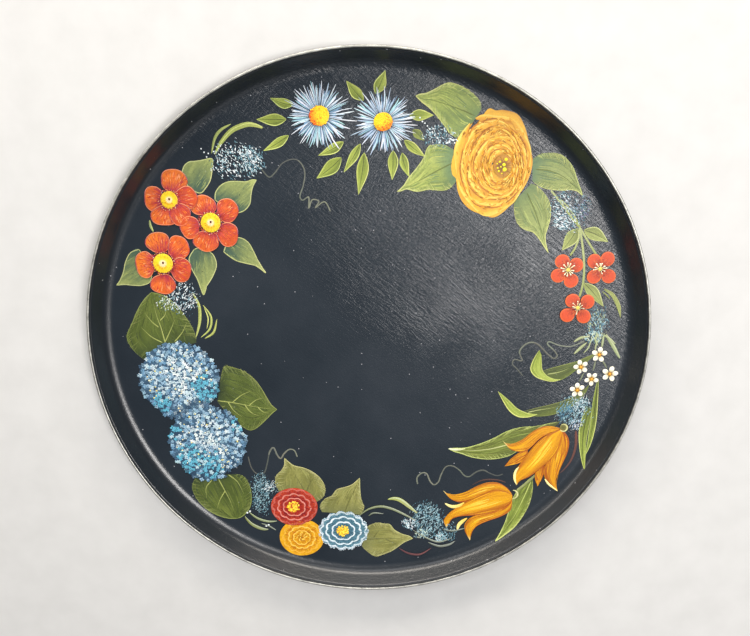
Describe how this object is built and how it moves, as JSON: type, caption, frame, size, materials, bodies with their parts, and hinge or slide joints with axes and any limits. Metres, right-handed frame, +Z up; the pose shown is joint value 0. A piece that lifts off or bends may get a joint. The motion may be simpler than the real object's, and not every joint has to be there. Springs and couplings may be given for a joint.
{
  "type": "painted tray",
  "caption": "Round shallow pressed-metal tray with a coved flaring wall, a rolled bead rim and a wreath of painted folk flowers on dark lacquer.",
  "frame": {"origin": "middle of the flat underside", "axes": "+Z up through the middle of the tray, square to its floor; +Y towards the pair of white asters, +X towards the small red flowers"},
  "size_m": [0.305, 0.305, 0.012],
  "materials": {
    "steel_sheet": "pressed steel sheet under thin dark lacquer, worn bare on the rim",
    "ground_lacquer": "near-black slate lacquer, glossy, with fine brush grooves",
    "aster_paint": "white and pale blue strokes",
    "gold_paint": "warm gold paint",
    "yellow_paint": "clear yellow paint",
    "rose_paint": "warm yellow-orange blended petals",
    "brown_paint": "brown glaze",
    "leaf_green_paint": "yellow-green leaf paint with paler edges",
    "red_paint": "orange-red petals, one loaded brush stroke each",
    "blue_paint": "blue florets in dabs",
    "olive_paint": "dark olive leaf paint",
    "orange_paint": "orange-yellow petals",
    "sage_paint": "dull sage green paint",
    "blade_green_paint": "fresh green blade paint",
    "cream_paint": "cream paint",
    "white_paint": "white dabs",
    "teal_paint": "pale teal dabs",
    "pale_line_paint": "thin pale green-grey lines"
  },
  "bodies": {
    "root": {"pan": "steel_sheet", "ground_coat": "ground_lacquer", "aster_1": "aster_paint", "aster_2": "aster_paint", "aster_eyes": "gold_paint", "aster_leaves": "leaf_green_paint", "rose": "rose_paint", "rose_heart": "brown_paint", "rose_leaf_1": "leaf_green_paint", "rose_leaf_2": "leaf_green_paint", "rose_leaf_3": "leaf_green_paint", "rose_leaf_4": "leaf_green_paint", "bloom_1": "red_paint", "bloom_2": "red_paint", "bloom_3": "red_paint", "bloom_eyes": "yellow_paint", "bloom_leaf_1": "leaf_green_paint", "bloom_leaf_2": "leaf_green_paint", "bloom_leaf_3": "leaf_green_paint", "bloom_leaf_4": "leaf_green_paint", "bloom_leaf_5": "leaf_green_paint", "hydrangea_1": "blue_paint", "hydrangea_2": "blue_paint", "hydrangea_leaf_1": "olive_paint", "hydrangea_leaf_2": "olive_paint", "hydrangea_leaf_3": "olive_paint", "scallop_red": "red_paint", "scallop_yellow": "orange_paint", "scallop_blue": "blue_paint", "scallop_eyes": "gold_paint", "scallop_leaf_1": "sage_paint", "scallop_leaf_2": "sage_paint", "scallop_leaf_3": "sage_paint", "tulip_1": "gold_paint", "tulip_2": "gold_paint", "tulip_leaf_1": "blade_green_paint", "tulip_leaf_2": "blade_green_paint", "tulip_blades": "blade_green_paint", "berry_flowers": "red_paint", "berry_eyes": "cream_paint", "berry_sprig": "sage_paint", "cream_flowers": "cream_paint", "cream_eyes": "gold_paint", "cream_leaves": "blade_green_paint", "spray_bloom": "white_paint", "spray_rose": "white_paint", "spray_berry": "white_paint", "spray_cream": "teal_paint", "spray_tulip": "teal_paint", "spray_scallop": "teal_paint", "spray_hydrangea": "teal_paint", "spray_leaf": "white_paint", "tendrils": "pale_line_paint", "grasses": "sage_paint"}
  },
  "joints": []
}
